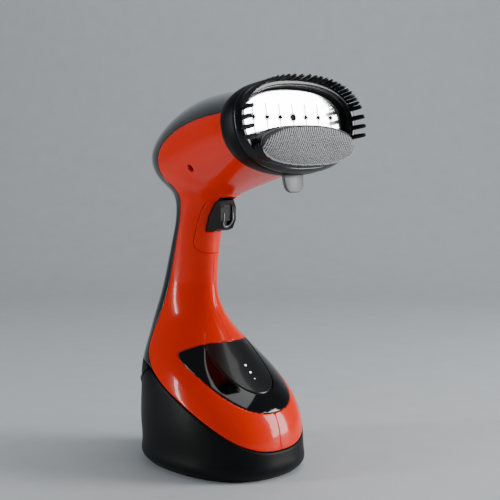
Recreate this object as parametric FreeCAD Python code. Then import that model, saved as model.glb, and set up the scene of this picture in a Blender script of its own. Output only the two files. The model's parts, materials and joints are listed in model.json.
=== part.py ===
import math
import os

import FreeCAD
import Part

V = FreeCAD.Vector

# ---- driving dimensions, mm; origin at the centre of the flat base, +Z up, steam head towards -Y ----
WALL = 2.4                 # moulded shell wall
GAP = 0.4                  # parting gap between body and water tank
PIN_CLEAR = 0.05           # radial clearance of a running pin
HEAD_TILT = math.radians(9.0)
HEAD_ORIGIN = (-97.0, 272.0)      # y, z of the middle steam hole
COLLAR_BACK = -18.0        # depths along the head axis, 0 is the plate face
PLATE_FACE = -1.0
COLLAR_FRONT = 0.4
FRAME_FRONT = 6.5
PAD_BACK = 11.0
PAD_FRONT = 13.4
HOLE_PITCH = 13.3
PAD_W, PAD_H = 94.0, 26.8

# body stations: front (y, z), back (y, z), half width, roundness, front narrowing
STATIONS = [
    ((-80.0, 0.0), (44.0, 0.0), 49.0, 2.4, 0.0),
    ((-84.5, 4.0), (48.5, 4.0), 53.0, 2.4, 0.0),
    ((-86.0, 14.0), (50.0, 14.0), 54.5, 2.4, 0.0),
    ((-84.0, 30.0), (50.0, 30.0), 55.0, 2.4, 0.0),
    ((-74.0, 55.0), (50.5, 55.0), 53.5, 2.35, 0.0),
    ((-47.0, 80.0), (50.5, 80.0), 47.0, 2.25, -0.03),
    ((-28.0, 100.0), (50.5, 100.0), 33.5, 2.2, -0.1),
    ((-16.5, 115.0), (49.5, 115.0), 24.5, 2.15, -0.18),
    ((-9.5, 130.0), (45.6, 128.5), 19.8, 2.1, -0.24),
    ((-8.0, 150.0), (38.3, 149.5), 18.0, 2.1, -0.26),
    ((-10.0, 174.0), (28.0, 177.7), 18.6, 2.1, -0.26),
    ((-14.5, 194.0), (21.2, 202.3), 20.5, 2.1, -0.22),
    ((-21.0, 204.5), (27.8, 218.0), 23.5, 2.1, -0.15),
    ((-28.0, 210.5), (44.2, 229.0), 28.0, 2.1, -0.08),
    ((-35.0, 214.0), (50.8, 240.6), 32.0, 2.15, 0.0),
    ((-42.0, 216.5), (44.1, 256.0), 36.0, 2.15, 0.02),
    ((-47.5, 218.5), (22.1, 272.6), 40.0, 2.2, 0.03),
    ((-54.5, 221.0), (-3.6, 284.2), 44.0, 2.2, 0.03),
    ((-64.0, 224.4), (-29.8, 290.4), 48.5, 2.2, 0.0),
    ((-74.5, 228.0), (-51.8, 292.4), 52.5, 2.2, -0.03),
    ((-85.2, 231.7), (-75.2, 293.4), 56.0, 2.2, -0.04),
]
# side-view curve of the sloping joint between the body and the black base, (y, z)
RIM = [(-130.0, -26.0), (-100.0, 11.0), (-80.0, 25.4), (-58.0, 40.6), (-34.0, 53.8), (-15.0, 63.0),
       (-1.0, 70.2), (10.0, 76.4), (18.0, 79.2), (30.0, 80.7), (52.0, 81.2), (90.0, 81.4)]
# tank joint: the same curve at the front, dropping under the fixed rear cover
TANK_TOP = [(-130.0, -26.0), (-100.0, 11.0), (-80.0, 25.4), (-58.0, 40.6), (-34.0, 53.8), (-15.0, 63.0),
            (-1.0, 70.0), (8.0, 74.4), (14.0, 76.0), (20.0, 74.2), (27.0, 67.5), (41.0, 53.6), (52.0, 43.0),
            (90.0, 20.0)]


def save(name, shape):
    shape.exportStep("parts/" + name + ".step")


def head(x, v, d):
    """A point given across, up and forward of the middle steam hole."""
    s, c = math.sin(HEAD_TILT), math.cos(HEAD_TILT)
    return V(x, HEAD_ORIGIN[0] - c * d + s * v, HEAD_ORIGIN[1] + s * d + c * v)


AXIS = head(0, 0, 1) - head(0, 0, 0)
UP = head(0, 1, 0) - head(0, 0, 0)


def signed_power(value, power):
    return math.copysign(abs(value) ** power, value)


def closed_curve(points):
    curve = Part.BSplineCurve()
    curve.interpolate(points, PeriodicFlag=True)
    return Part.Wire([curve.toShape()])


def station_row(station, inset, count=40):
    (fy, fz), (by, bz), half, power, narrow = station
    length = math.hypot(by - fy, bz - fz)
    uy, uz = (by - fy) / length, (bz - fz) / length
    fy, fz = fy + uy * inset, fz + uz * inset
    by, bz = by - uy * inset, bz - uz * inset
    half = half - inset
    row = []
    for i in range(count + 1):
        angle = math.pi + 2 * math.pi * (i % count) / count
        side = signed_power(math.sin(angle), 2 / power)
        along = signed_power(math.cos(angle), 2 / power)
        t = (1 - along) / 2
        row.append(V(half * side * (1 + narrow * along), fy + (by - fy) * t, fz + (bz - fz) * t))
    return row


def body_form(stations, inset=0.0):
    """One smooth closed solid through the stations."""
    surface = Part.BSplineSurface()
    surface.interpolate([station_row(s, inset) for s in stations])
    first, last = surface.bounds()[0], surface.bounds()[1]
    faces = [surface.toShape()]
    faces += [Part.Face(Part.Wire([surface.uIso(u).toShape()])) for u in (first, last)]
    shell = Part.makeShell(faces)
    shell.sewShape()
    solid = Part.Solid(shell if shell.ShapeType == "Shell" else shell.Shells[0])
    if solid.Volume < 0:
        solid.reverse()
    return solid


def loft(wires):
    return Part.makeLoft(wires, True, False)


def move_station(station, shift):
    front, back = station[0], station[1]
    return ((front[0] + shift[0], front[1] + shift[1]), (back[0] + shift[0], back[1] + shift[1])) + station[2:]


def side_prism(curve_points, close_points, half=90.0):
    """A solid bounded in side view by a smooth curve and straight closing lines."""
    curve = Part.BSplineCurve()
    curve.interpolate([V(-half, y, z) for y, z in curve_points])
    corner = [V(-half, y, z) for y, z in [curve_points[-1]] + close_points + [curve_points[0]]]
    wire = Part.Wire([curve.toShape()] + [Part.makeLine(a, b) for a, b in zip(corner, corner[1:])])
    return Part.Face(wire).extrude(V(2 * half, 0, 0))


def shifted(points, dz):
    return [(y, z + dz) for y, z in points]


def above(points, dz=0.0):
    return side_prism(shifted(points, dz), [(90.0, 330.0), (-130.0, 330.0)])


def below(points, dz=0.0):
    return side_prism(shifted(points, dz), [(90.0, -60.0), (-130.0, -60.0)])


def box(x0, x1, y0, y1, z0, z1):
    return Part.makeBox(x1 - x0, y1 - y0, z1 - z0, V(x0, y0, z0))


def rod(start, end, radius):
    direction = end - start
    return Part.makeCylinder(radius, direction.Length, start, direction)


def tube(start, end, outer, inner):
    return rod(start, end, outer).cut(rod(start, end, inner))


def coil(radius, wire, pitch, turns, start, direction=V(0, 0, 1), per_turn=12):
    count = int(turns * per_turn)
    points = []
    for i in range(count + 1):
        angle = 2 * math.pi * turns * i / count
        points.append(V(radius * math.cos(angle), radius * math.sin(angle), pitch * turns * i / count))
    path = Part.BSplineCurve()
    path.interpolate(points)
    first = path.tangent(path.FirstParameter)[0]
    profile = Part.Wire([Part.makeCircle(wire, points[0], first)])
    spring = Part.Wire([path.toShape()]).makePipeShell([profile], True, True)
    spring.Placement = FreeCAD.Placement(start, FreeCAD.Rotation(V(0, 0, 1), direction))
    return spring


def sweep(points, radius, inner=None):
    path = Part.BSplineCurve()
    path.interpolate(points)
    wire = Part.Wire([path.toShape()])
    first = path.tangent(path.FirstParameter)[0]
    solid = wire.makePipeShell([Part.Wire([Part.makeCircle(radius, points[0], first)])], True, True)
    if inner:
        hole = wire.makePipeShell([Part.Wire([Part.makeCircle(inner, points[0], first)])], True, True)
        solid = solid.cut(hole)
    return solid


def head_oval(half, low, high, depth, power=2.3, lean=0.05, count=32):
    """A closed curve across the head, a little fuller above its middle."""
    mid, rise = (low + high) / 2, (high - low) / 2
    points = []
    for i in range(count):
        angle = 2 * math.pi * (i + 0.5) / count
        side = signed_power(math.sin(angle), 2 / power)
        along = signed_power(math.cos(angle), 2 / power)
        points.append(head(half * side * (1 + lean * along), mid + rise * along, depth))
    return closed_curve(points)


def head_block(rings):
    return loft([head_oval(*ring) for ring in rings])


def one(shape):
    """The largest solid of a result, free of slivers."""
    solids = sorted(shape.Solids, key=lambda s: -s.Volume)
    return solids[0].removeSplitter() if solids else shape


os.makedirs("parts", exist_ok=True)

# ---- the outer form, the hollow inside it, and the lines that divide it ----
outer = body_form(STATIONS)
hollow_stations = [move_station(STATIONS[0], (0, 3.0))] + STATIONS[2:]
hollow_stations.append(move_station(STATIONS[-1], (-6.0, 0.95)))
hollow = body_form(hollow_stations, WALL)
skin = outer.cut(hollow)

RIM_FACE = above(RIM, GAP / 2)
SPINE_EDGE = [(-84.0, 276.0), (-73.4, 274.6), (-52.9, 272.1), (-31.3, 268.4), (-9.3, 262.3), (7.2, 254.7),
              (16.5, 247.0), (19.5, 240.4), (19.5, 232.0), (16.3, 225.7), (9.0, 219.7), (5.2, 213.0),
              (5.8, 204.0), (8.4, 193.0), (11.8, 182.5), (14.9, 172.5), (21.1, 151.1), (26.2, 130.1),
              (28.4, 119.7), (29.4, 109.0), (29.6, 101.0), (28.2, 94.5), (24.5, 88.4), (18.3, 83.1),
              (11.2, 77.9), (2.0, 71.0)]
spine_zone = side_prism(SPINE_EDGE, [(30.0, 60.0), (120.0, 60.0), (120.0, 340.0), (-84.0, 340.0)])
panel_zone = box(-14.2, 14.2, -40.0, 2.0, 166.0, 213.0)
panel_zone = panel_zone.makeFillet(9.0, [e for e in panel_zone.Edges if abs(e.Length - 42.0) < 0.1])

upper = skin.common(RIM_FACE)
spine = upper.common(spine_zone)
front = upper.cut(spine_zone)
panel = one(front.common(panel_zone))
front = front.cut(panel_zone)


# ---- control window: a leaf-shaped opening low on the front ----
LEAF = [(0.0, 98.8), (12.0, 98.7), (22.0, 97.6), (31.0, 94.6), (38.0, 90.2), (39.9, 86.0), (40.3, 80.5),
        (38.8, 73.7), (35.6, 65.5), (29.8, 58.6), (22.5, 53.8), (12.5, 50.6), (0.0, 49.5)]


def leaf(grow=0.0):
    points = [V(x * (1 + grow / 38.0), -150.0, 74.0 + (z - 74.0) * (1 + grow / 24.5)) for x, z in LEAF]
    points += [V(-p.x, p.y, p.z) for p in points[-2:0:-1]]
    return Part.Face(closed_curve(points)).extrude(V(0, 145.0, 0))


window_hole = leaf()
front = front.cut(window_hole)
window_skin = one(outer.common(window_hole).cut(hollow))
TONGUE = [(0.0, 106.0), (20.0, 106.0), (22.6, 96.0), (23.4, 86.0), (22.6, 78.0), (19.8, 71.8),
          (15.2, 67.0), (8.0, 63.6), (0.0, 62.4)]


def touch_form(grow):
    points = [V(x * (1 + grow / 23.0), -150.0, 84.0 + (z - 84.0) * (1 + grow / 21.6)) for x, z in TONGUE]
    points += [V(-p.x, p.y, p.z) for p in points[-2:0:-1]]
    return Part.Face(closed_curve(points)).extrude(V(0, 150.0, 0))


window = one(window_skin.cut(touch_form(0.35)))
LIGHTS = [(-41.5, 84.4), (-46.6, 80.2), (-52.2, 75.6)]
touch_full = one(outer.common(leaf(-0.35)).common(touch_form(0.0)).cut(hollow))
BOARD_AT = V(0, -43.0, 70.0)
BOARD_NORMAL = V(0, -0.7071, 0.7071)
board = box(-20, 20, -19, 19, -1.6, 0)
board.Placement = FreeCAD.Placement(BOARD_AT, FreeCAD.Rotation(V(1, 0, 0), 45))
before_board = Part.makeBox(60, 60, 60, V(-30, -30, 0))
before_board.Placement = FreeCAD.Placement(BOARD_AT, FreeCAD.Rotation(V(1, 0, 0), 45))
touch = touch_full
lights = []
for y, z in LIGHTS:
    touch = touch.cut(rod(V(0, y - 20, z), V(0, y + 12, z), 1.05))
    lights.append(rod(V(0, y - 20, z), V(0, y + 22, z), 1.0).common(outer).common(before_board))
touch = one(touch)


# ---- left and right shells, with the bosses that hold screws and the trigger pin ----
SCREWS = [(-18.0, 234.0, -1), (8.0, 158.0, 1), (1.0, 112.0, 1)]      # y, z, side the head is on
TRIGGER_AT = (-6.5, 205.5)
left = front.common(box(-90, 0, -130, 90, -10, 330))
right = front.common(box(0, 90, -130, 90, -10, 330))
screws = []
for y, z, side in SCREWS:
    boss = rod(V(-80, y, z), V(80, y, z), 3.8).common(outer)
    left = left.fuse(boss.common(box(-90, 0, -130, 90, -10, 330)))
    right = right.fuse(boss.common(box(0, 90, -130, 90, -10, 330)))
    shaft = rod(V(-9, y, z), V(9, y, z), 1.5)
    well = rod(V(9 * side, y, z), V(80 * side, y, z), 2.7)
    left = left.cut(shaft).cut(well)
    right = right.cut(shaft).cut(well)
    screws.append(shaft.fuse(rod(V(9 * side, y, z), V(11 * side, y, z), 2.6)))
py, pz = TRIGGER_AT
ears = rod(V(-80, py, pz), V(-8.8, py, pz), 3.6).common(outer)
left = left.fuse(ears)
right = right.fuse(ears.mirror(V(0, 0, 0), V(1, 0, 0)))
trigger_pin = rod(V(-12, py, pz), V(12, py, pz), 1.5)
left = one(left.cut(trigger_pin))
right = one(right.cut(trigger_pin))
TRIGGER_SLOT = box(-8.4, 8.4, -60, 2, 183.4, 210.6)
panel = one(panel.cut(TRIGGER_SLOT))
left = one(left.cut(TRIGGER_SLOT))
right = one(right.cut(TRIGGER_SLOT))
save("left_shell", left)
save("right_shell", right)
save("front_panel", panel)
save("shell_screws", Part.makeCompound(screws))
save("trigger_pin", trigger_pin)
save("control_window", window)
save("touch_panel", touch)
save("status_lights", Part.makeCompound(lights))
save("control_board", board)

# ---- spine cover and tank release button ----
BUTTON_Z = 91.0
slot = box(-12.4, 12.4, 30, 80, BUTTON_Z - 6.4, BUTTON_Z + 6.4)
slot = slot.makeFillet(5.0, [e for e in slot.Edges if abs(e.Length - 50.0) < 0.1])
spine = sorted(spine.cut(slot).Solids, key=lambda s: -s.Volume)[0]
cap = box(-12, 12, 43, 80, BUTTON_Z - 6, BUTTON_Z + 6)
cap = cap.makeFillet(4.6, [e for e in cap.Edges if abs(e.Length - 37.0) < 0.1])
bulge = outer.copy()
bulge.translate(V(0, 2.4, 0))
release_button = one(cap.common(bulge))
save("spine_cover", spine)
save("release_button", release_button)
save("release_spring", coil(2.4, 0.4, 1.5, 3.5, V(0, 36.4, 87.5), V(0, 1, 0)))

# ---- body floor, rear cover, cord gland and clamp ----
FILLER_Y = -20.0
VALVE_Y = 6.0
floor = hollow.common(above(RIM, GAP / 2)).common(below(RIM, 2.6))
floor = floor.cut(rod(V(0, FILLER_Y, 30), V(0, FILLER_Y, 110), 12.6))
floor = floor.fuse(rod(V(0, VALVE_Y, 66), V(0, VALVE_Y, 91.5), 8.6).common(above(RIM, GAP / 2)))
floor = floor.cut(rod(V(0, VALVE_Y, 50), V(0, VALVE_Y, 84.5), 6.6))
port = rod(V(0, VALVE_Y, 76.5), V(0, VALVE_Y, 95.5), 2.6)
floor = floor.fuse(port).cut(rod(V(0, VALVE_Y, 60), V(0, VALVE_Y, 101), 1.4))
floor = floor.fuse(box(-6, 6, 33.2, 35.8, 74, 90.5).common(above(RIM, 1.0)))
floor = one(floor)
rear = outer.common(below(RIM, -GAP / 2 + 0.2)).common(above(TANK_TOP, GAP / 2)).common(box(-70, 70, 18, 90, 0, 120))
rear = rear.cut(hollow.common(above(TANK_TOP, 2.6)))
GLAND_Z = 52.0
rear = rear.cut(rod(V(0, 30, GLAND_Z), V(0, 90, GLAND_Z), 5.0))
rear = one(rear)
gland = Part.makeCone(4.75, 3.9, 32.0, V(0, 48.0, GLAND_Z), V(0, 1, 0))
gland = gland.fuse(Part.makeCylinder(4.5, 2.6, V(0, 78.4, GLAND_Z), V(0, 1, 0)))
gland = gland.cut(rod(V(0, 40, GLAND_Z), V(0, 90, GLAND_Z), 2.8))
clamp = box(-8, 8, 37, 43.5, 48, 67).common(above(TANK_TOP, 2.6))
clamp = clamp.cut(rod(V(0, 30, 62), V(0, 50, 62), 2.9))
save("body_floor", floor)
save("rear_cover", rear)
save("cord_gland", gland)
save("cord_clamp", one(clamp))
save("port_seal", tube(V(0, VALVE_Y, 77.5), V(0, VALVE_Y, 79.5), 3.45, 2.6))

# ---- water tank, lid, filler plug and outlet valve ----
tank = outer.common(below(TANK_TOP, -GAP / 2))
room = hollow.common(below(TANK_TOP, -GAP / 2))
tank = one(tank.cut(room))
lid = hollow.common(below(TANK_TOP, -GAP / 2)).common(above(TANK_TOP, -GAP / 2 - 2.4))
lid = lid.cut(rod(V(0, FILLER_Y, 30), V(0, FILLER_Y, 80), 11.0))
neck = tube(V(0, FILLER_Y, 50), V(0, FILLER_Y, 68), 11.0, 8.6)
lid = one(lid.cut(rod(V(0, VALVE_Y, 30), V(0, VALVE_Y, 90), 6.0)))
plug = rod(V(0, FILLER_Y, 61.5), V(0, FILLER_Y, 68), 8.55)
plug = plug.fuse(rod(V(0, FILLER_Y, 68), V(0, FILLER_Y, 70.5), 10.6))
plug = plug.fuse(box(-1.2, 1.2, FILLER_Y - 7, FILLER_Y + 7, 70.5, 73.5))
valve = rod(V(0, VALVE_Y, 55.5), V(0, VALVE_Y, 81.5), 6.0)
for low, high, radius in ((69.5, 82.5, 3.5), (62.5, 70.5, 2.3), (56.3, 63.5, 4.4), (54.5, 57.5, 2.0)):
    valve = valve.cut(rod(V(0, VALVE_Y, low), V(0, VALVE_Y, high), radius))
stem = rod(V(0, VALVE_Y, 61.4), V(0, VALVE_Y, 76.4), 2.25 - PIN_CLEAR)
stem = stem.fuse(rod(V(0, VALVE_Y, 60.4), V(0, VALVE_Y, 62.0), 3.8))
save("water_tank", tank)
save("tank_lid", lid)
save("filler_neck", neck)
save("filler_plug", plug)
save("tank_valve", one(valve))
save("valve_stem", stem)
save("valve_spring", coil(3.2, 0.35, 1.05, 3.0, V(0, VALVE_Y, 56.7), per_turn=16))

# ---- pump and hoses ----
pump = rod(V(0, 22, 104), V(0, 22, 143), 11.0).fuse(rod(V(0, 22, 100), V(0, 22, 147), 4.0))
pump = pump.cut(rod(V(0, 22, 95), V(0, 22, 102), 1.6)).cut(rod(V(0, 22, 145), V(0, 22, 150), 1.6))
save("water_pump", pump)
save("suction_hose", sweep([V(0, VALVE_Y, 95.5), V(0, 8.5, 98.1), V(0, 18.5, 97.9), V(0, 22, 100)], 1.3))
hose_path = [V(0, 22, 147), V(0, 22, 163), V(0, 18.4, 181), V(0, 15.8, 196), V(0, 13.5, 211), V(0, 5, 228),
             V(0, -22, 246), V(0, -52, 256), head(0, -7.0, -26.0)]
save("pressure_hose", sweep(hose_path, 2.3))

# ---- steam head ----
plate = head_block([(52.5, -33.5, 19.5, -4.0), (52.5, -33.5, 19.5, PLATE_FACE)])
for i in range(-3, 4):
    radius = 2.5 if i == 0 else 1.5
    x = HOLE_PITCH * i
    plate = plate.cut(rod(head(x, 0, -8), head(x, 0, 2), radius))
    groove = Part.makeBox(1.0, 22.0, 2.0, V(x - 0.5, -12.0, PLATE_FACE - 0.5))
    frame_turn = FreeCAD.Rotation(V(1, 0, 0), UP, AXIS, "ZXY")
    groove.Placement = FreeCAD.Placement(head(0, 0, 0), frame_turn)
    plate = plate.cut(groove)
gasket = head_block([(53.3, -34.3, 20.3, -4.0), (53.3, -34.3, 20.3, -1.6)])
gasket = gasket.cut(head_block([(52.5, -33.5, 19.5, -6.0), (52.5, -33.5, 19.5, 0.0)]))
collar = head_block([(57.0, -40.4, 27.0, COLLAR_BACK), (59.2, -41.4, 28.2, -14.0), (60.2, -41.8, 28.6, -8.0),
                     (60.2, -41.6, 28.4, -3.0), (59.4, -41.0, 27.8, COLLAR_FRONT)])
collar = collar.cut(head_block([(53.3, -34.3, 20.3, -30.0), (53.3, -34.3, 20.3, 10.0)]))
TAB_V, TAB_D = -38.6, -8.0
tab_slot = Part.makeCompound([rod(head(-11, TAB_V, TAB_D), head(11, TAB_V, TAB_D), 3.4)])
slot_low = [head(-11, TAB_V, TAB_D - 3.4), head(-11, TAB_V, TAB_D + 3.4), head(-11, -50, TAB_D + 3.4),
            head(-11, -50, TAB_D - 3.4), head(-11, TAB_V, TAB_D - 3.4)]
slot_low = Part.Face(Part.makePolygon(slot_low)).extrude(V(22, 0, 0))
tab_pin = rod(head(-14, TAB_V, TAB_D), head(14, TAB_V, TAB_D), 1.0)
collar = one(collar.cut(tab_slot.Solids[0]).cut(slot_low).cut(tab_pin))
tab_side = [head(-10.5, TAB_V, TAB_D - 1.3), head(-10.5, TAB_V, TAB_D + 1.3), head(-10.5, -54.3, TAB_D + 1.3),
            head(-10.5, -54.3, TAB_D - 1.3), head(-10.5, TAB_V, TAB_D - 1.3)]
tab = Part.Face(Part.makePolygon(tab_side)).extrude(V(21, 0, 0))
short = [e for e in tab.Edges if abs(e.Length - 2.6) < 0.01 and (e.CenterOfMass - head(0, -54.3, TAB_D)).Length < 11]
tab = tab.makeFillet(4.5, short)
tab = tab.fuse(rod(head(-10.5, TAB_V, TAB_D), head(10.5, TAB_V, TAB_D), 2.2))
tab = one(tab.cut(rod(head(-12, TAB_V, TAB_D), head(12, TAB_V, TAB_D), 1.0 + PIN_CLEAR)))
element = rod(head(-28, 4, -38), head(-28, 4, -14), 3.2).fuse(rod(head(-28, 4, -14), head(28, 4, -14), 3.2))
element = element.fuse(rod(head(28, 4, -14), head(28, 4, -38), 3.2))
for x in (-28, 28):
    element = element.fuse(Part.makeSphere(3.2, head(x, 4, -14)))
chamber = head_block([(44.0, -29.0, 15.0, -26.0), (44.0, -29.0, 15.0, -4.0)]).cut(element)
chamber = one(chamber.cut(rod(head(0, -7, -30), head(0, -7, -20), 1.6)))
bracket = hollow.common(head_block([(70.0, -60.0, 50.0, -23.0), (70.0, -60.0, 50.0, -20.0)]))
bracket = one(bracket.cut(head_block([(44.0, -29.0, 15.0, -30.0), (44.0, -29.0, 15.0, -4.0)])))
thermostat = rod(head(-14, -14, -26), head(-14, -14, -31), 7.5).fuse(rod(head(-14, -14, -31), head(-14, -14, -34), 4.0))
fuse_link = rod(head(14, -14, -26), head(14, -14, -29), 4.0).fuse(rod(head(14, -20, -27.9), head(14, -8, -27.9), 1.8))
save("steam_plate", plate)
save("plate_gasket", gasket)
save("head_collar", collar)
save("release_tab", tab)
save("tab_pin", tab_pin)
save("heating_element", element)
save("steam_chamber", chamber)
save("chamber_bracket", bracket)
save("thermostat", thermostat)
save("thermal_fuse", fuse_link)

# ---- clip-on brush: frame, pad carrier, pad and bristles ----
ring = head_block([(60.6, -41.0, 28.2, COLLAR_FRONT), (61.0, -41.2, 28.4, 3.0), (59.8, -40.0, 27.2, FRAME_FRONT)])
ring = ring.cut(head_block([(54.8, -35.4, 22.6, -5.0), (54.8, -35.4, 22.6, 12.0)]))
carrier = head_block([(49.5, -37.6, -7.6, 1.0), (49.5, -37.6, -7.6, 8.0), (48.2, -36.8, -8.2, PAD_BACK)])
carrier = one(carrier)
ring = one(ring.cut(head_block([(49.5, -37.6, -7.6, 0.9), (49.5, -37.6, -7.6, 12.0)])).cut(carrier))
pad = head_block([(PAD_W / 2, -22.5 - PAD_H / 2, -22.5 + PAD_H / 2, PAD_BACK),
                  (PAD_W / 2 - 0.8, -22.0 - PAD_H / 2, -23.0 + PAD_H / 2, PAD_FRONT)])
tufts = []
for i in range(-12, 13):
    angle = math.radians(5.6 * i)
    side = signed_power(math.sin(angle), 2 / 2.3)
    along = signed_power(math.cos(angle), 2 / 2.3)
    x, v = 57.6 * side * (1 + 0.05 * along), -6.4 + 31.8 * along
    tufts.append(rod(head(x, v, FRAME_FRONT - 1.0), head(x, v, 17.0), 1.25))
for v in (-0.5, -8.0, -15.5):
    for x in (-58.0, 58.0):
        scale = math.sqrt(max(0.0, 1 - ((v + 6.4) / 33.0) ** 2))
        tufts.append(rod(head(x * scale, v, FRAME_FRONT - 1.0), head(x * scale, v, 17.0), 1.25))
for tuft in tufts:
    ring = ring.cut(tuft)
save("brush_frame", one(ring))
save("pad_carrier", carrier)
save("lint_pad", pad)
save("bristle_tufts", Part.makeCompound([t for t in tufts]))

# ---- trigger group ----
side_view = [(-9.0, 209.8), (-23.5, 208.4), (-26.2, 203.0), (-26.0, 193.0), (-22.5, 186.2), (-17.0, 184.2),
             (-8.5, 184.2), (-6.0, 190.0), (-6.0, 200.0), (-5.0, 209.0)]
corner = [V(-8.0, y, z) for y, z in side_view]
trigger = Part.Face(Part.makePolygon(corner + [corner[0]])).extrude(V(16.0, 0, 0))
trigger = trigger.cut(box(-6.2, 6.2, -19.0, 5, 187, 200.5))
trigger = trigger.fuse(rod(V(-8.0, py, pz), V(8.0, py, pz), 3.2))
trigger = trigger.cut(rod(V(-10, py, pz), V(10, py, pz), 1.5 + PIN_CLEAR))
trigger = trigger.cut(box(-3.9, 3.9, -30, -22.6, 189.0, 205.4))
slider = box(-3.6, 3.6, -24.6, -22.6, 192.4, 205.0)
for i in range(7):
    slider = slider.fuse(box(-3.6, 3.6, -25.3, -24.6, 193.2 + 1.6 * i, 194.0 + 1.6 * i))
switch_plate = box(-17, 17, 2.4, 4.4, 183, 203).common(hollow)
switch_plate = one(switch_plate.cut(rod(V(0, 0, 197), V(0, 10, 197), 1.7)))
switch = box(-5, 5, 4.4, 12.5, 189, 202).fuse(rod(V(0, -2.0, 197), V(0, 6, 197), 1.4))
save("trigger", one(trigger))
save("lock_slider", one(slider))
save("switch_plate", switch_plate)
save("trigger_switch", switch)
save("trigger_spring", coil(2.6, 0.4, 2.2, 9.3, V(0, -18.6, 190.6), V(0, 1, 0)))
print("built", len(os.listdir("parts")), "parts")
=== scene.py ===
import json
import math
import random

import bpy
import numpy as np
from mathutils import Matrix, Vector


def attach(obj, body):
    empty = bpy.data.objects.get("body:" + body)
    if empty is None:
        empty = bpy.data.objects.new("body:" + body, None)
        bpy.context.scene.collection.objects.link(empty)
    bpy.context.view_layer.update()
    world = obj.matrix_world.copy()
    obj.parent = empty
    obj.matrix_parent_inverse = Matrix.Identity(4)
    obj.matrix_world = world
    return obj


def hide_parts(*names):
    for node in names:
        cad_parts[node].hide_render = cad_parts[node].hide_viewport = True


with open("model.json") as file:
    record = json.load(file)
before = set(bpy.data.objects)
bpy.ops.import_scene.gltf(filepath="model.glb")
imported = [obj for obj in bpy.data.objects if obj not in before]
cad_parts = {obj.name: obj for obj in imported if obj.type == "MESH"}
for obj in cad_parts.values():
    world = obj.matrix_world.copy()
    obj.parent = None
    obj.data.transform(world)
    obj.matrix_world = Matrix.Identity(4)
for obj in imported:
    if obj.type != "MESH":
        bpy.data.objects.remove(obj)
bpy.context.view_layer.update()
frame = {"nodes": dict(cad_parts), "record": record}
MM = 0.001

# ---- the form of the body, in millimetres, as the CAD source states it ----
STATIONS = [
    (-80.0, 0.0, 44.0, 0.0, 49.0, 2.4, 0.0),
    (-84.5, 4.0, 48.5, 4.0, 53.0, 2.4, 0.0),
    (-86.0, 14.0, 50.0, 14.0, 54.5, 2.4, 0.0),
    (-84.0, 30.0, 50.0, 30.0, 55.0, 2.4, 0.0),
    (-74.0, 55.0, 50.5, 55.0, 53.5, 2.35, 0.0),
    (-47.0, 80.0, 50.5, 80.0, 47.0, 2.25, -0.03),
    (-28.0, 100.0, 50.5, 100.0, 33.5, 2.2, -0.1),
    (-16.5, 115.0, 49.5, 115.0, 24.5, 2.15, -0.18),
    (-9.5, 130.0, 45.6, 128.5, 19.8, 2.1, -0.24),
    (-8.0, 150.0, 38.3, 149.5, 18.0, 2.1, -0.26),
    (-10.0, 174.0, 28.0, 177.7, 18.6, 2.1, -0.26),
    (-14.5, 194.0, 21.2, 202.3, 20.5, 2.1, -0.22),
    (-21.0, 204.5, 27.8, 218.0, 23.5, 2.1, -0.15),
    (-28.0, 210.5, 44.2, 229.0, 28.0, 2.1, -0.08),
    (-35.0, 214.0, 50.8, 240.6, 32.0, 2.15, 0.0),
    (-42.0, 216.5, 44.1, 256.0, 36.0, 2.15, 0.02),
    (-47.5, 218.5, 22.1, 272.6, 40.0, 2.2, 0.03),
    (-54.5, 221.0, -3.6, 284.2, 44.0, 2.2, 0.03),
    (-64.0, 224.4, -29.8, 290.4, 48.5, 2.2, 0.0),
    (-74.5, 228.0, -51.8, 292.4, 52.5, 2.2, -0.03),
    (-85.2, 231.7, -75.2, 293.4, 56.0, 2.2, -0.04),
]
RIM = [(-130.0, -26.0), (-100.0, 11.0), (-80.0, 25.4), (-58.0, 40.6), (-34.0, 53.8), (-15.0, 63.0),
       (-1.0, 70.2), (10.0, 76.4), (18.0, 79.2), (30.0, 80.7), (52.0, 81.2), (90.0, 81.4)]
TANK_TOP = [(-130.0, -26.0), (-100.0, 11.0), (-80.0, 25.4), (-58.0, 40.6), (-34.0, 53.8), (-15.0, 63.0),
            (-1.0, 70.0), (8.0, 74.4), (14.0, 76.0), (20.0, 74.2), (27.0, 67.5), (41.0, 53.6), (52.0, 43.0),
            (90.0, 20.0)]
SPINE_EDGE = [(-84.0, 276.0), (-73.4, 274.6), (-52.9, 272.1), (-31.3, 268.4), (-9.3, 262.3), (7.2, 254.7),
              (16.5, 247.0), (19.5, 240.4), (19.5, 232.0), (16.3, 225.7), (9.0, 219.7), (5.2, 213.0),
              (5.8, 204.0), (8.4, 193.0), (11.8, 182.5), (14.9, 172.5), (21.1, 151.1), (26.2, 130.1),
              (28.4, 119.7), (29.4, 109.0), (29.6, 101.0), (28.2, 94.5), (24.5, 88.4), (18.3, 83.1),
              (11.2, 77.9), (2.0, 71.0)]
LEAF = [(0.0, 98.8), (12.0, 98.7), (22.0, 97.6), (31.0, 94.6), (38.0, 90.2), (39.9, 86.0), (40.3, 80.5),
        (38.8, 73.7), (35.6, 65.5), (29.8, 58.6), (22.5, 53.8), (12.5, 50.6), (0.0, 49.5)]
TONGUE = [(0.0, 106.0), (20.0, 106.0), (22.6, 96.0), (23.4, 86.0), (22.6, 78.0), (19.8, 71.8),
          (15.2, 67.0), (8.0, 63.6), (0.0, 62.4)]
HEAD_TILT = math.radians(9.0)
HEAD_ORIGIN = (-97.0, 272.0)
ROWS, COLUMNS = 420, 300


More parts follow.
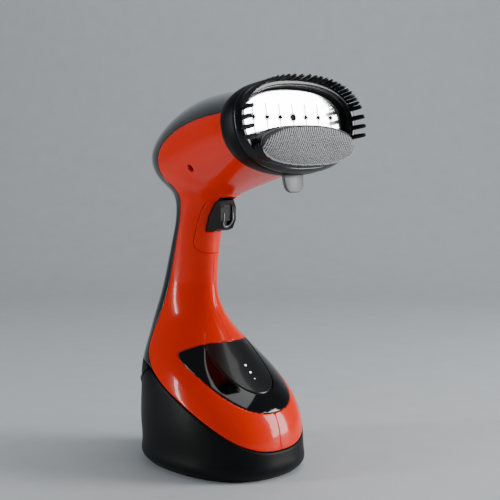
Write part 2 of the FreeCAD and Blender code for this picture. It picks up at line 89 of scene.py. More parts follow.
def natural_spline(xs, ys, x):
    """Natural cubic spline through (xs, ys), read at x."""
    xs, ys = np.asarray(xs, float), np.asarray(ys, float)
    n = len(xs)
    h = np.diff(xs)
    a = np.zeros((n, n))
    b = np.zeros(n)
    a[0, 0] = a[-1, -1] = 1
    for i in range(1, n - 1):
        a[i, i - 1], a[i, i], a[i, i + 1] = h[i - 1], 2 * (h[i - 1] + h[i]), h[i]
        b[i] = 6 * ((ys[i + 1] - ys[i]) / h[i] - (ys[i] - ys[i - 1]) / h[i - 1])
    m = np.linalg.solve(a, b)
    i = np.clip(np.searchsorted(xs, x) - 1, 0, n - 2)
    t, u = x - xs[i], xs[i + 1] - x
    bend = (m[i] * u ** 3 + m[i + 1] * t ** 3) / (6 * h[i])
    return bend + (ys[i] / h[i] - m[i] * h[i] / 6) * u + (ys[i + 1] / h[i] - m[i + 1] * h[i] / 6) * t


def smooth_line(points, count=400):
    p = np.asarray(points, float)
    s = np.concatenate([[0], np.cumsum(np.hypot(*np.diff(p, axis=0).T))])
    q = np.linspace(0, s[-1], count)
    return np.stack([natural_spline(s, p[:, 0], q), natural_spline(s, p[:, 1], q)], -1)


def power(value, exponent):
    return np.sign(value) * np.abs(value) ** exponent


def body_grid():
    """Points and normals of the whole outer form, rows along the body, columns around it."""
    st = np.array(STATIONS)
    mid = (st[:, 0:2] + st[:, 2:4]) / 2
    s = np.concatenate([[0], np.cumsum(np.hypot(*np.diff(mid, axis=0).T))])
    u = np.interp(np.linspace(0, 1, ROWS), np.linspace(0, 1, len(s)), s)
    cols = [natural_spline(s, st[:, k], u)[:, None] for k in range(7)]
    fy, fz, by, bz, half, n, narrow = cols
    t = 2 * math.pi * np.arange(COLUMNS)[None, :] / COLUMNS + math.pi
    side, along = power(np.sin(t), 2 / n), power(np.cos(t), 2 / n)
    k = (1 - along) / 2
    p = np.stack([half * side * (1 + narrow * along), fy + (by - fy) * k, fz + (bz - fz) * k], -1)
    du = np.gradient(p, axis=0)
    dt = np.roll(p, -1, 1) - np.roll(p, 1, 1)
    normal = np.cross(dt, du)
    normal /= np.linalg.norm(normal, axis=2)[..., None] + 1e-12
    centre = p.mean(1, keepdims=True)
    if ((p - centre) * normal).sum() < 0:
        normal = -normal
    return p, normal


GRID, GRID_NORMAL = body_grid()


def line_distance(points, a, b, line):
    """Signed distance, in the plane of axes a and b, to a densely sampled line; positive on its left."""
    q = points[:, [a, b]]
    out = np.empty(len(q))
    seg = np.diff(line, axis=0)
    size = np.hypot(*seg.T)
    for i in range(0, len(q), 4000):
        c = q[i:i + 4000]
        d = np.hypot(c[:, None, 0] - line[None, :, 0], c[:, None, 1] - line[None, :, 1])
        j = np.clip(d.argmin(1), 0, len(seg) - 1)
        w = c - line[j]
        cross = (seg[j, 0] * w[:, 1] - seg[j, 1] * w[:, 0]) / size[j]
        near = d.min(1)
        out[i:i + 4000] = np.where(near < 1.0, cross, np.sign(cross) * near)
    return out


RIM_LINE = smooth_line(RIM, 900)
TANK_LINE = smooth_line(TANK_TOP, 900)
SPINE_LINE = smooth_line(SPINE_EDGE, 1400)


def closed_line(half_points, count=900):
    pts = half_points + [(-x, z) for x, z in half_points[-2:0:-1]] + [half_points[0]]
    return smooth_line(pts, count)


LEAF_LINE = closed_line(LEAF)
TONGUE_LINE = closed_line(TONGUE)


def over(line):
    """Field: positive above a side-view line that runs front to back."""
    def field(p):
        z = np.interp(p[:, 1], line[:, 0], line[:, 1])
        slope = np.interp(p[:, 1], line[:-1, 0], np.diff(line[:, 1]) / np.diff(line[:, 0]))
        return (p[:, 2] - z) / np.sqrt(1 + slope ** 2)
    return field


def spine_field(p):
    return line_distance(p, 1, 2, SPINE_LINE)


def front_shape(line):
    """Field: positive inside a closed outline seen from the front, on the front of the body."""
    def field(p):
        d = -line_distance(p, 0, 2, line)
        return np.where(p[:, 1] < -2.0, d, -np.abs(d) - 1.0)
    return field


def panel_field(p):
    """Rounded rectangle round the trigger, on the front of the grip."""
    q = np.stack([np.abs(p[:, 0]) - 14.2 + 9.0, np.abs(p[:, 2] - 189.5) - 23.5 + 9.0], -1)
    outside = np.hypot(np.maximum(q[:, 0], 0), np.maximum(q[:, 1], 0))
    d = 9.0 - outside - np.minimum(np.maximum(q[:, 0], q[:, 1]), 0)
    return np.where(p[:, 1] < 2.0, d, -np.abs(d) - 1.0)


def slot_field(p):
    """Opening for the trigger."""
    d = np.minimum(8.4 - np.abs(p[:, 0]), 13.6 - np.abs(p[:, 2] - 197.0))
    return np.where(p[:, 1] < 2.0, d, -np.abs(d) - 1.0)


def ring_field(y, z, radius, side):
    def field(p):
        d = radius - np.hypot(p[:, 1] - y, p[:, 2] - z)
        return np.where(p[:, 0] * side > 0, d, -np.abs(d) - 1.0)
    return field


def opposite(field):
    return lambda p: -field(p)


rim, tank_top = over(RIM_LINE), over(TANK_LINE)
leaf, tongue = front_shape(LEAF_LINE), front_shape(TONGUE_LINE)


def lowered(field, amount):
    return lambda p: field(p) - amount


def widened(field, times):
    """The same line, with its edge rolled over a band that many times wider."""
    return lambda p: field(p) / times


class Patch:
    """Faces cut from a grid, by default the body's, along the zero lines of fields."""

    def __init__(self, fields, grid=None):
        self.fields = fields
        points, normals = grid or (GRID, GRID_NORMAL)
        rows, cols = points.shape[:2]
        p, n = points.reshape(-1, 3), normals.reshape(-1, 3)
        f = self.value(p)
        r, c = np.meshgrid(np.arange(rows - 1), np.arange(cols), indexing="ij")
        quads = np.stack([r * cols + c, r * cols + (c + 1) % cols,
                          (r + 1) * cols + (c + 1) % cols, (r + 1) * cols + c], -1).reshape(-1, 4)
        quads = quads[(f[quads] > 0).any(1)]
        used, back = np.unique(quads, return_inverse=True)
        self.p, self.n, self.f = list(map(tuple, p[used])), list(map(tuple, n[used])), list(f[used])
        self.faces = [list(q) for q in back.reshape(-1, 4)]
        self.split(0.0, True)

    def value(self, p):
        p = np.asarray(p, float)
        return np.min([field(p) for field in self.fields], axis=0)

    def split(self, level, discard=False):
        """Adds an edge loop along field == level, and drops what is below it if asked."""
        f = np.array(self.f) - level
        f[np.abs(f) < 1e-7] = 1e-7
        made, kept, fresh = {}, [], []

        def cross(i, j):
            key = (min(i, j), max(i, j))
            if key not in made:
                a, b = key
                t = f[a] / (f[a] - f[b])
                pa, pb = np.array(self.p[a]), np.array(self.p[b])
                na, nb = np.array(self.n[a]), np.array(self.n[b])
                made[key] = len(self.p) + len(fresh)
                fresh.append((tuple(pa + (pb - pa) * t), tuple(na + (nb - na) * t)))
            return made[key]

        for face in self.faces:
            signs = [f[i] > 0 for i in face]
            if all(signs):
                kept.append(face)
                continue
            if not any(signs):
                if not discard:
                    kept.append(face)
                continue
            above, below = [], []
            for k, i in enumerate(face):
                j = face[(k + 1) % len(face)]
                (above if f[i] > 0 else below).append(i)
                if (f[i] > 0) != (f[j] > 0):
                    m = cross(i, j)
                    above.append(m)
                    below.append(m)
            if len(above) > 2:
                kept.append(above)
            if len(below) > 2 and not discard:
                kept.append(below)
        self.faces = kept
        for q, nn in fresh:
            self.p.append(q)
            self.n.append(nn)
            self.f.append(level)

    def build(self, name, lift=0.0, roll=0.6, depth=2.2, levels=(0.06, 0.18, 0.36, 0.6)):
        """Makes the mesh: a rolled edge, the surface lifted by a little, and a return wall inward."""
        for level in levels:
            self.split(level * roll / 0.6)
        p, n, f = np.array(self.p), np.array(self.n), np.array(self.f)
        n /= np.linalg.norm(n, axis=1)[:, None]
        d = np.clip(f, 0, roll)
        drop = roll - np.sqrt(np.maximum(roll ** 2 - (roll - d) ** 2, 0))
        q = p + n * (lift - drop)[:, None]
        count = {}
        for face in self.faces:
            for k, i in enumerate(face):
                j = face[(k + 1) % len(face)]
                count[(min(i, j), max(i, j))] = count.get((min(i, j), max(i, j)), 0) + 1
        edge_set = {}
        for face in self.faces:
            for k, i in enumerate(face):
                j = face[(k + 1) % len(face)]
                if count[(min(i, j), max(i, j))] == 1:
                    edge_set[(i, j)] = True
        border = sorted({i for e in edge_set for i in e})
        place = {i: len(q) + k for k, i in enumerate(border)}
        inner = p[border] - n[border] * depth
        q = np.concatenate([q, inner])
        faces = self.faces + [[j, i, place[i], place[j]] for i, j in edge_set]
        used = sorted({i for face in faces for i in face})
        renumber = {i: k for k, i in enumerate(used)}
        faces = [[renumber[i] for i in face] for face in faces]
        mesh = bpy.data.meshes.new(name)
        mesh.from_pydata((q[used] * MM).tolist(), [], faces)
        mesh.validate()
        obj = bpy.data.objects.new(name, mesh)
        bpy.context.scene.collection.objects.link(obj)
        for poly in mesh.polygons:
            poly.use_smooth = True
        return obj


# ---- materials ----
def material(name, color, rough, metal=0.0, coat=0.0, coat_rough=0.04, grain=0.0, grain_scale=900.0,
             vary=0.04, glow=0.0, tint=None, shine=0.5):
    """A procedural finish: cloudy roughness and colour, and where asked a fine grain or a glow."""
    m = bpy.data.materials.new(name)
    m.use_nodes = True
    nodes, links = m.node_tree.nodes, m.node_tree.links
    b = nodes["Principled BSDF"]
    b.inputs["Metallic"].default_value = metal
    b.inputs["Coat Weight"].default_value = coat
    b.inputs["Coat Roughness"].default_value = coat_rough
    b.inputs["Specular IOR Level"].default_value = shine
    if glow:
        b.inputs["Emission Color"].default_value = (*color, 1)
        b.inputs["Emission Strength"].default_value = glow
    place = nodes.new("ShaderNodeTexCoord")
    cloud = nodes.new("ShaderNodeTexNoise")
    cloud.inputs["Scale"].default_value = 38.0
    cloud.inputs["Detail"].default_value = 5.0
    links.new(place.outputs["Object"], cloud.inputs["Vector"])
    shade = nodes.new("ShaderNodeMapRange")
    shade.inputs["To Min"].default_value = max(rough - vary, 0.01)
    shade.inputs["To Max"].default_value = rough + vary
    links.new(cloud.outputs["Fac"], shade.inputs["Value"])
    links.new(shade.outputs["Result"], b.inputs["Roughness"])
    ramp = nodes.new("ShaderNodeMix")
    ramp.data_type = "RGBA"
    ramp.inputs[6].default_value = (*color, 1)
    ramp.inputs[7].default_value = (*(tint or [c * 0.88 for c in color]), 1)
    links.new(cloud.outputs["Fac"], ramp.inputs[0])
    links.new(ramp.outputs[2], b.inputs["Base Color"])
    if grain:
        fine = nodes.new("ShaderNodeTexNoise")
        fine.inputs["Scale"].default_value = grain_scale
        fine.inputs["Detail"].default_value = 3.0
        links.new(place.outputs["Object"], fine.inputs["Vector"])
        bump = nodes.new("ShaderNodeBump")
        bump.inputs["Strength"].default_value = grain
        bump.inputs["Distance"].default_value = 0.0002
        links.new(fine.outputs["Fac"], bump.inputs["Height"])
        links.new(bump.outputs["Normal"], b.inputs["Normal"])
    return m


ORANGE = material("orange_gloss", (0.92, 0.022, 0.0), 0.20, coat=0.32, coat_rough=0.03, vary=0.03, shine=0.14,
                  tint=(0.84, 0.016, 0.0))
SPINE = material("spine_gloss", (0.012, 0.0125, 0.015), 0.16, coat=0.8, vary=0.03, shine=0.4)
SATIN = material("black_satin", (0.003, 0.003, 0.0033), 0.44, grain=0.12, grain_scale=1800, vary=0.05,
                 shine=0.16)
FRAME_BLACK = material("black_half_gloss", (0.003, 0.003, 0.0033), 0.27, coat=0.2, grain=0.05, vary=0.05,
                       shine=0.3)
PIANO = material("window_gloss", (0.002, 0.002, 0.0022), 0.07, coat=0.45, vary=0.02, shine=0.25)
TOUCH = material("touch_satin", (0.008, 0.008, 0.009), 0.30, coat=0.2, grain=0.04, vary=0.04, shine=0.3)
GREY = material("tab_grey", (0.105, 0.105, 0.12), 0.38, grain=0.08, vary=0.05)
PLATE = material("polished_plate", (0.93, 0.93, 0.94), 0.12, metal=1.0, vary=0.04)
CAST = material("cast_metal", (0.55, 0.55, 0.56), 0.45, metal=1.0, grain=0.5, grain_scale=700, vary=0.1)
STEEL = material("bright_steel", (0.62, 0.62, 0.64), 0.25, metal=1.0, vary=0.06)
RUBBER = material("black_rubber", (0.016, 0.016, 0.016), 0.62, grain=0.2, vary=0.06)
SILICONE = material("silicone", (0.70, 0.68, 0.62), 0.45, vary=0.05)
WHITE = material("white_moulding", (0.72, 0.72, 0.70), 0.42, grain=0.1, vary=0.05)
BOARD = material("circuit_board", (0.02, 0.16, 0.06), 0.35, coat=0.4, vary=0.05)
LIGHT = material("status_light", (0.9, 0.95, 1.0), 0.3, glow=2.5)
BRISTLE = material("bristle_nylon", (0.010, 0.010, 0.012), 0.33, vary=0.06)
NAP = material("nap_fabric", (0.022, 0.022, 0.026), 0.8, grain=0.8, grain_scale=1500,
               tint=(0.012, 0.012, 0.014))
NAP_BASE = material("nap_backing", (0.035, 0.035, 0.04), 0.85, grain=0.8, grain_scale=1200)
# painted sheen: a pale finish for fibres that stand in for the light the dark velvet catches
NAP_SHEEN = material("nap_painted_sheen", (0.80, 0.80, 0.82), 0.55, vary=0.08, tint=(0.45, 0.45, 0.47))
TRIM = material("trigger_trim", (0.16, 0.16, 0.17), 0.22, coat=0.4, vary=0.04)
DARK = material("deep_shadow", (0.012, 0.012, 0.014), 0.6, shine=0.1)
# painted reflection: a dark red for a band round the window's edge, standing in for the orange body reflected
# in the glossy window
REFLECTION_RED = material("window_painted_reflection", (0.55, 0.02, 0.008), 0.25, coat=0.6, vary=0.03)


def paint(obj, mat):
    obj.data.materials.clear()
    obj.data.materials.append(mat)
    return obj


def finish_piece(obj, mat, body, node=None):
    paint(obj, mat)
    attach(obj, body)
    if node:
        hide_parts(*([node] if isinstance(node, str) else node))
    return obj


def new_object(name, points, faces, smooth=True):
    mesh = bpy.data.meshes.new(name)
    mesh.from_pydata((np.asarray(points, float) * MM).tolist(), [], faces)
    mesh.validate()
    obj = bpy.data.objects.new(name, mesh)
    bpy.context.scene.collection.objects.link(obj)
    for poly in mesh.polygons:
        poly.use_smooth = smooth
    return obj


FINISHES = {
    "orange_body": ORANGE, "spine_gloss": SPINE, "black_satin": SATIN, "window_black": PIANO,
    "panel_black": TOUCH, "tab_grey": GREY, "polished_plate": PLATE, "cast_metal": CAST, "steel": STEEL,
    "rubber_black": RUBBER, "silicone": SILICONE, "nap_fabric": NAP, "bristle_nylon": BRISTLE,
    "board_green": BOARD, "white_plastic": WHITE, "light_white": LIGHT}
for part in frame["record"]["subparts"]:
    if part["node"] in frame["nodes"]:
        paint(frame["nodes"][part["node"]], FINISHES[part["material_slot"]])

# ---- moulded body pieces ----
below_rim, below_tank = opposite(lowered(rim, -0.25)), opposite(lowered(tank_top, -0.25))
above_rim = lowered(rim, 0.15)
not_spine, not_leaf, not_panel = opposite(spine_field), opposite(leaf), opposite(panel_field)
SCREWS = [(-24.6, 234.0, -1), (8.0, 158.0, 1), (1.0, 112.0, 1)]
BUTTON_Z = 91.0


def button_field(p):
    d = np.minimum(12.4 - np.abs(p[:, 0]), 6.4 - np.abs(p[:, 2] - BUTTON_Z))
    return np.where(p[:, 1] > 30, d, -np.abs(d) - 1.0)


def half_space(side):
    return lambda p: p[:, 0] * side


for name, side in (("left_shell", -1), ("right_shell", 1)):
    holes = [opposite(ring_field(y, z, 2.9, side)) for y, z, s in SCREWS if s == side]
    skin = Patch([widened(above_rim, 4.5), not_spine, not_leaf, not_panel, half_space(side)] + holes)
    finish_piece(skin.build(name + "_skin", roll=0.45), ORANGE, "housing", name)
panel_piece = Patch([lowered(panel_field, 0.12), opposite(slot_field)])
finish_piece(panel_piece.build("front_panel_skin", roll=0.7), ORANGE, "housing", "front_panel")
spine_piece = Patch([above_rim, lowered(spine_field, 0.1), opposite(button_field)])
finish_piece(spine_piece.build("spine_skin", lift=0.15, roll=0.7), SPINE, "housing", "spine_cover")
window_piece = Patch([lowered(leaf, 0.3), opposite(tongue)])
finish_piece(window_piece.build("window_skin", lift=0.05, roll=0.5, depth=1.8), PIANO, "housing",
             "control_window")
# painted reflection: a dark red band just under the window's edge, standing in for the orange body reflected
# in the glossy black
reflection_piece = Patch([lowered(leaf, -0.1), opposite(lowered(leaf, 0.55))])
finish_piece(reflection_piece.build("window_painted_reflection", lift=-0.25, roll=0.1, depth=1.0), REFLECTION_RED, "housing")
touch_piece = Patch([lowered(leaf, 0.3), lowered(tongue, 0.35)])
finish_piece(touch_piece.build("touch_skin", lift=-0.15, roll=1.1, depth=1.6), TOUCH, "touch_button",
             "touch_panel")
tank_piece = Patch([below_tank])
finish_piece(tank_piece.build("tank_skin", roll=1.6, depth=2.4), SATIN, "tank", "water_tank")
rear_piece = Patch([below_rim, lowered(tank_top, 0.25), lambda p: p[:, 1] - 18.0])
finish_piece(rear_piece.build("rear_skin", roll=0.7), SATIN, "housing", "rear_cover")

# ---- status lights: small domes in a row down the touch panel ----
LIGHT_PLACES = ((-45.6, 81.3), (-51.0, 76.6), (-55.5, 72.0))          # y, z
LIGHT_DOME = ((0.8, -0.7), (0.8, 0.15), (0.6, 0.32), (0.3, 0.4))      # radius, height over the panel
LIGHT_SIDES = 20
UPHILL = (0.729, 0.685)                                               # y, z along the panel, going up
points, faces = [], []
for y, z in LIGHT_PLACES:
    start = len(points)
    for size, lift in LIGHT_DOME:
        for angle in np.linspace(0, 2 * math.pi, LIGHT_SIDES, endpoint=False):
            along = size * math.sin(angle)
            points.append((size * math.cos(angle), y - UPHILL[1] * lift + UPHILL[0] * along,
                           z + UPHILL[0] * lift + UPHILL[1] * along))
    for row in range(len(LIGHT_DOME) - 1):
        low = start + row * LIGHT_SIDES
        high = low + LIGHT_SIDES
        faces += [[low + k, low + (k + 1) % LIGHT_SIDES, high + (k + 1) % LIGHT_SIDES, high + k]
                  for k in range(LIGHT_SIDES)]
    faces.append(list(range(high, high + LIGHT_SIDES)))
finish_piece(new_object("light_domes", points, faces), LIGHT, "housing", "status_lights")


# ---- steam head ----
def head(x, v, d):
    """A point given across, up and forward of the middle steam hole."""
    s, c = math.sin(HEAD_TILT), math.cos(HEAD_TILT)
    return (x, HEAD_ORIGIN[0] - c * d + s * v, HEAD_ORIGIN[1] + s * d + c * v)


def head_frame(p):
    """Across, up and forward of the middle steam hole, for row frame points in an array."""
    s, c = math.sin(HEAD_TILT), math.cos(HEAD_TILT)
    y, z = p[:, 1] - HEAD_ORIGIN[0], p[:, 2] - HEAD_ORIGIN[1]
    return p[:, 0], s * y + c * z, -c * y + s * z


def oval(half, low, high, depth, count=200, n=2.3, lean=0.05):
    t = 2 * math.pi * (np.arange(count) + 0.5) / count
    side, along = power(np.sin(t), 2 / n), power(np.cos(t), 2 / n)
    x = half * side * (1 + lean * along)
    v = (low + high) / 2 + (high - low) / 2 * along
    s, c = math.sin(HEAD_TILT), math.cos(HEAD_TILT)
    return np.stack([x, HEAD_ORIGIN[0] - c * depth + s * v, HEAD_ORIGIN[1] + s * depth + c * v], -1)


def softened(profile, radius, steps=5):
    """An open profile of (outward, forward) points with its corners rounded."""
    pts = [np.array(p, float) for p in profile]
    out = [pts[0]]
    for a, b, c in zip(pts, pts[1:], pts[2:]):
        r = min(radius, np.linalg.norm(a - b) * 0.45, np.linalg.norm(c - b) * 0.45)
        u, w = (a - b) / np.linalg.norm(a - b) * r, (c - b) / np.linalg.norm(c - b) * r
        for k in range(steps + 1):
            t = k / steps
            out.append(b + u * (1 - t) ** 2 + w * t ** 2)
    return out + [pts[-1]]


def oval_grid(base, profile, count=300):
    half, low, high = base
    rows = np.stack([oval(half + e, low - e, high + e, d, count) for e, d in profile])
    du = np.gradient(rows, axis=0)
    dt = np.roll(rows, -1, 1) - np.roll(rows, 1, 1)
    normal = np.cross(du, dt)
    normal /= np.linalg.norm(normal, axis=2)[..., None] + 1e-12
    return rows, normal


def surface(name, rows, closed_rows=False):
    """A mesh over rows of points that are each a closed loop."""
    r, c = rows.shape[:2]
    faces = []
    for i in range(r if closed_rows else r - 1):
        for j in range(c):
            k = (j + 1) % c
            faces.append([i * c + j, i * c + k, (i + 1) % r * c + k, (i + 1) % r * c + j])
    return new_object(name, rows.reshape(-1, 3), faces)


collar_profile = softened([(-7.4, -17.4), (-3.4, -18.0), (-1.6, -14.5), (0.0, -9.0), (0.1, -3.0), (-0.5, 0.2),
                           (-7.4, 0.2)], 1.6, 7)


def tab_slot(p):
    x, v, d = head_frame(p)
    f = np.minimum(11.0 - np.abs(x), 3.3 - np.abs(d + 8.0))
    return np.where(v < -36.0, f, -np.abs(f) - 1.0)


collar = Patch([opposite(tab_slot)], oval_grid((60.2, -41.8, 28.6), collar_profile)).build(
    "collar_moulding", roll=0.4, depth=3.5)
finish_piece(collar, SATIN, "housing", "head_collar")

frame_profile = [(-5.6, -0.6), (-1.6, 0.35), (-0.2, 0.45), (0.5, 1.2), (0.5, 2.6), (-0.3, 4.3), (-1.5, 6.0),
                 (-2.3, 6.5), (-4.6, 6.5), (-5.4, 5.9), (-5.7, 4.6), (-5.75, 2.0), (-6.3, 1.2), (-6.4, 0.2),
                 (-6.4, -0.8)]
ring = surface("brush_frame_moulding", oval_grid((60.6, -41.0, 28.2), softened(frame_profile, 0.6, 4))[0])
finish_piece(ring, FRAME_BLACK, "brush", "brush_frame")


def capped(name, rows):
    """A surface over rows, with its last row closed."""
    r, c = rows.shape[:2]
    faces = [[i * c + j, i * c + (j + 1) % c, (i + 1) * c + (j + 1) % c, (i + 1) * c + j]
             for i in range(r - 1) for j in range(c)]
    faces.append(list(range((r - 1) * c, r * c)))
    return new_object(name, rows.reshape(-1, 3), faces)


carrier_profile = softened([(0.0, 0.9), (0.2, 6.8), (-0.5, 7.4), (-0.6, 8.6), (-1.5, 9.4), (-1.6, 10.4),
                            (-2.4, 11.2), (-3.5, 11.3)], 0.7, 4)
carrier = capped("pad_carrier_moulding", oval_grid((50.2, -38.0, -7.0), carrier_profile, 240)[0])
finish_piece(carrier, FRAME_BLACK, "brush", "pad_carrier")

PAD = (47.4, -36.1, -8.7)
pad_profile = [(0.0, 10.6), (0.0, 11.5)] + [(-12.0 * (1 - math.cos(a)), 11.5 + 3.0 * math.sin(a) ** 0.8)
                                            for a in [0.15, 0.35, 0.6, 0.85, 1.1, 1.35, 1.57]]
pad_rows = oval_grid(PAD, pad_profile, 240)[0]
pad = capped("pad_cushion", pad_rows)
finish_piece(pad, NAP_BASE, "brush", "lint_pad")
rim_profile = [(1.3 + 0.55 * math.cos(a), 11.5 + 0.55 * math.sin(a))
               for a in np.linspace(0, 2 * math.pi, 9)[:-1]]
rim_ring = surface("pad_rim", oval_grid((46.2, -35.4, -9.4), rim_profile, 240)[0], True)
finish_piece(rim_ring, FRAME_BLACK, "brush")


def blades(name, roots, tips, width, sides=3):
    """Many thin tapered strands as one mesh."""
    points, faces = [], []
    for a, b, w in zip(roots, tips, width):
        a, b = np.array(a), np.array(b)
        axis = (b - a) / (np.linalg.norm(b - a) + 1e-9)
        u = np.cross(axis, (0.3, 0.9, 0.1))
        u /= np.linalg.norm(u)
        v = np.cross(axis, u)
        start = len(points)
        for share, size in ((0.0, 1.0), (0.6, 0.9), (0.95, 0.55)):
            for k in range(sides):
                t = 2 * math.pi * k / sides
                points.append(a + (b - a) * share + (u * math.cos(t) + v * math.sin(t)) * w * size)
        points.append(b)
        for row in range(2):
            for k in range(sides):
                m = (k + 1) % sides
                faces.append([start + row * sides + k, start + row * sides + m,
                              start + (row + 1) * sides + m, start + (row + 1) * sides + k])
        faces += [[start + 2 * sides + k, start + 2 * sides + (k + 1) % sides, start + 3 * sides]
                  for k in range(sides)]
    return new_object(name, points, faces)


def pad_height(x, v):
    """Height of the pad's crown at a point across and up, or None outside the pad."""
    half, low, high = PAD
    across, up = abs(x) / half, abs(v - (low + high) / 2) / ((high - low) / 2)
    reach = (across ** 2.3 + up ** 2.3) ** (1 / 2.3)
    if reach >= 1:
        return None
    slope = 1.0
    if reach > 0.01:
        slope = math.hypot((across / reach) ** 1.3 / half, (up / reach) ** 1.3 * 2 / (high - low))
    inset = min(12.0, (1 - reach) / slope)
    return 11.5 + 3.0 * math.sin(math.acos(1 - inset / 12.0)) ** 0.8


# ---- nap: short leaning fibres in slanted rows, dark and pale in turn with the pale rows as painted sheen, and a fringe of painted sheen at the lower edge ----
random.seed(7)
dark_roots, dark_tips, sheen_roots, sheen_tips = [], [], [], []
for i in range(-60, 61):
    for j in range(-26, 27):
        x = i * 1.05 + j * 0.45 + random.uniform(-0.05, 0.05)
        v = -22.4 + j * 0.62 + random.uniform(-0.12, 0.12)
        z = pad_height(x, v)
        if z is None:
            continue
        root = head(x, v, z - 0.25)
        tip = head(x + 0.75 + random.uniform(-0.15, 0.15), v - 0.75 + random.uniform(-0.15, 0.15), z + 0.42)
        # painted sheen: every other slanted row is pale, for the light caught along the velvet's rows
        light = i % 2 == 0
        (sheen_roots if light else dark_roots).append(root)
        (sheen_tips if light else dark_tips).append(tip)
half, low, high = PAD
# painted sheen: a pale fringe of fibres along the pad's lower edge
for k in range(420):
    a = math.pi * random.uniform(0.53, 1.47)
    side, along = power(math.sin(a), 2 / 2.3), power(math.cos(a), 2 / 2.3)
    x, v = half * side * 0.985, (low + high) / 2 + (high - low) / 2 * along * 0.96
    sheen_roots.append(head(x, v, 11.9))
    sheen_tips.append(head(x * 1.004 + random.uniform(-0.4, 0.4), v - 1.0 - 0.8 * random.random(),
                           12.6 + random.random()))
finish_piece(blades("nap_sheen_fibres", sheen_roots, sheen_tips, [0.42] * len(sheen_roots)), NAP_SHEEN, "brush")
finish_piece(blades("nap_dark", dark_roots, dark_tips, [0.36] * len(dark_roots)), NAP, "brush")

# ---- bristles: each bundle is across, up, radius, length, lean across, lean up ----
tuft_places = []
for i in range(-14, 15):
    angle = math.radians(5.1 * i)
    side, along = power(math.sin(angle), 2 / 2.3), power(math.cos(angle), 2 / 2.3)
    tuft_places.append((58.6 * side * (1 + 0.05 * along), -6.4 + 33.0 * along, 1.25, 15.0,
                        1.6 * side, 1.6 * along))
for v in (5.4, -1.6, -8.6, -15.6):
    for side in (-1, 1):
        scale = math.sqrt(max(0.0, 1 - abs((v + 6.4) / 34.0) ** 2.3))
        tuft_places.append((57.4 * side * scale ** 0.9, v, 1.75, 18.2, 0.5 * side, 0.0))
roots, tips, widths = [], [], []
for x, v, radius, length, lean_x, lean_v in tuft_places:
    for ring_radius, count in ((0.0, 1), (0.45, 6), (0.85, 10)):
        for k in range(count):
            t = 2 * math.pi * k / count + random.random()
            dx, dv = ring_radius * radius * math.cos(t), ring_radius * radius * math.sin(t)
            roots.append(head(x + dx, v + dv, 5.8))
            spread = 0.85 if radius > 1.5 else 1.1
            tips.append(head(x + lean_x + dx * spread + random.uniform(-0.12, 0.12),
                             v + lean_v + dv * spread + random.uniform(-0.12, 0.12),
                             length - 0.5 * ring_radius * radius - random.uniform(0.0, 0.8)))
            widths.append(0.24 * radius)
finish_piece(blades("bristle_bundles", roots, tips, widths, 5), BRISTLE, "brush", "bristle_tufts")

# ---- steam plate: raised hole rims, and painted shade as dark discs in the holes and dark strips along the groove lines ----
HOLE_PITCH = 13.3
RIM_TURNS, RIM_SIDES = 28, 8
points, faces = [], []
for i in range(-3, 4):
    size = 2.9 if i == 0 else 2.0
    start = len(points)
    for a in np.linspace(0, 2 * math.pi, RIM_TURNS, endpoint=False):
        for b in np.linspace(0, 2 * math.pi, RIM_SIDES, endpoint=False):
            r = size + 0.35 * math.cos(b)
            points.append(head(HOLE_PITCH * i + r * math.cos(a), r * math.sin(a), -1.0 + 0.35 * math.sin(b)))
    for a in range(RIM_TURNS):
        here, there = start + a * RIM_SIDES, start + (a + 1) % RIM_TURNS * RIM_SIDES
        faces += [[here + b, here + (b + 1) % RIM_SIDES, there + (b + 1) % RIM_SIDES, there + b]
                  for b in range(RIM_SIDES)]
finish_piece(new_object("hole_rims", points, faces), PLATE, "housing")

# painted shade: dark discs laid in the holes and dark strips laid in the grooves, where shade falls in the
# polished plate
points, faces = [], []
for i in range(-3, 4):
    size = 2.7 if i == 0 else 1.8
    start = len(points)
    points += [head(HOLE_PITCH * i + size * math.cos(a), size * math.sin(a), -1.7)
               for a in np.linspace(0, 2 * math.pi, 24, endpoint=False)]
    faces.append(list(range(start, start + 24)))
    for low, high in ((-11.6, -size - 0.6), (size + 0.6, 9.6)):
        start = len(points)
        corners = ((-0.42, low), (0.42, low), (0.18, high), (-0.18, high))
        points += [head(HOLE_PITCH * i + dx, v, -0.93) for dx, v in corners]
        faces.append(list(range(start, start + 4)))
finish_piece(new_object("hole_and_groove_painted_shade", points, faces, False), DARK, "housing")

# ---- trigger trim: a thin bead round the slider's lower half ----
TRIM_HALF = 4.6
TRIM_STEP = 0.7
path = [(TRIM_HALF, 199.0 - TRIM_STEP * k) for k in range(10)]
path += [(TRIM_HALF * math.cos(a), 192.4 - TRIM_HALF * math.sin(a))
         for a in np.linspace(0.08, math.pi - 0.08, 26)]
path += [(-TRIM_HALF, 192.7 + TRIM_STEP * k) for k in range(10)]
trim_rows = []
for k, (x, z) in enumerate(path):
    before, after = path[max(k - 1, 0)], path[min(k + 1, len(path) - 1)]
    run, climb = after[0] - before[0], after[1] - before[1]
    length = math.hypot(run, climb)
    across = (climb / length, -run / length)
    y = -26.1 + max(0.0, 193.0 - z) * 0.515
    size = 0.35 if k in (0, len(path) - 1) else 0.85
    trim_rows.append([(x + size * math.cos(a) * across[0], y - 0.8 * size * math.sin(a),
                       z + size * math.cos(a) * across[1])
                      for a in np.linspace(0, 2 * math.pi, 12, endpoint=False)])
trim = capped("trigger_trim", np.array(trim_rows))
finish_piece(trim, TRIM, "trigger_lever")

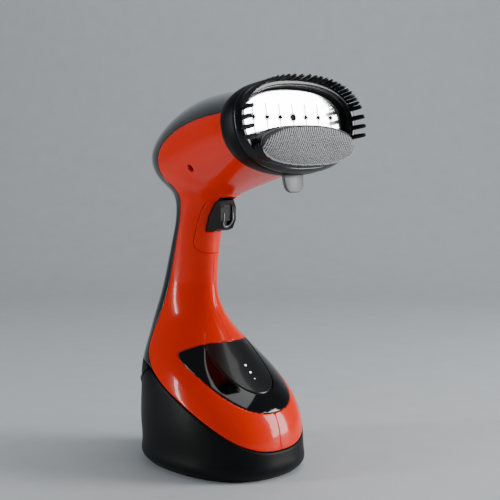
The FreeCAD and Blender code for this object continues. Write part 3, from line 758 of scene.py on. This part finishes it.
# ---- release tab ----
tab_rows = []
for d, grow in ((-9.3, -0.7), (-9.1, -0.2), (-8.7, 0.0), (-7.3, 0.0), (-6.9, -0.2), (-6.7, -0.7)):
    row = []
    for sx, sv, start in ((1, -47.4, -90), (1, -39.4, 0), (-1, -39.4, 90), (-1, -47.4, 180)):
        r = 6.9 if sv < -45 else 0.8
        cx, cv = sx * ((9.7 if sv < -45 else 10.5) - r), sv if sv < -45 else sv - r
        for k in range(9):
            a = math.radians(start + 90 * k / 8)
            row.append(head(cx + (r + grow) * math.cos(a), cv + (r + grow) * math.sin(a), d))
    tab_rows.append(row)
rows = np.array(tab_rows)
tab = capped("release_tab_moulding", rows)
finish_piece(tab, GREY, "tab", "release_tab")

# ---- camera, floor and light ----
AZ, EL, DISTANCE = math.radians(-43.5), math.radians(5.8), 0.880
TARGET = Vector((0.0, -0.0505, 0.1715))
back = Vector((math.sin(AZ) * math.cos(EL), -math.cos(AZ) * math.cos(EL), math.sin(EL)))
camera = bpy.data.objects.new("camera", bpy.data.cameras.new("camera"))
camera.data.sensor_width = 36.0
camera.data.lens = 82.8
camera.location = TARGET + back * DISTANCE
camera.rotation_mode = "QUATERNION"
camera.rotation_quaternion = (-back).to_track_quat("-Z", "Y")
bpy.context.scene.collection.objects.link(camera)
bpy.context.scene.camera = camera


def backdrop():
    """A pale floor that sweeps up into a wall behind the object."""
    profile = [(-2600.0, -0.3), (900.0, -0.3)]
    profile += [(900.0 + 700.0 * math.sin(a), 699.7 - 700.0 * math.cos(a))
                for a in np.linspace(0.1, math.pi / 2, 14)]
    profile.append((1600.0, 3200.0))
    turn = math.radians(-43.5)
    points = []
    for along, up in profile:
        for across in (-3600.0, 3600.0):
            points.append((across * math.cos(turn) - along * math.sin(turn),
                           across * math.sin(turn) + along * math.cos(turn), up))
    faces = [[2 * k, 2 * k + 1, 2 * k + 3, 2 * k + 2] for k in range(len(profile) - 1)]
    return new_object("studio_floor", points, faces)


floor = backdrop()
paint(floor, material("floor_pale", (0.66, 0.70, 0.73), 0.6, vary=0.05))


def area_light(name, place, aim, size, energy, color=(1, 1, 1)):
    data = bpy.data.lights.new(name, "AREA")
    data.shape = "RECTANGLE"
    data.size, data.size_y = size
    data.energy = energy
    data.color = color
    obj = bpy.data.objects.new(name, data)
    obj.location = place
    obj.rotation_mode = "QUATERNION"
    obj.rotation_quaternion = (Vector(aim) - Vector(place)).to_track_quat("-Z", "Y")
    bpy.context.scene.collection.objects.link(obj)
    return obj


area_light("window_right", (0.93, -1.02, 0.44), (0, -0.08, 0.17), (0.50, 0.80), 21)
area_light("left_strip", (-1.15, 0.62, 0.30), (0, 0, 0.17), (0.10, 1.1), 10)
area_light("top_soft", (0.25, -0.35, 1.35), (0, -0.05, 0.1), (0.9, 0.9), 7)

world = bpy.data.worlds.new("studio")
world.use_nodes = True
world.node_tree.nodes["Background"].inputs["Color"].default_value = (0.80, 0.86, 0.90, 1)
world.node_tree.nodes["Background"].inputs["Strength"].default_value = 0.17
bpy.context.scene.world = world
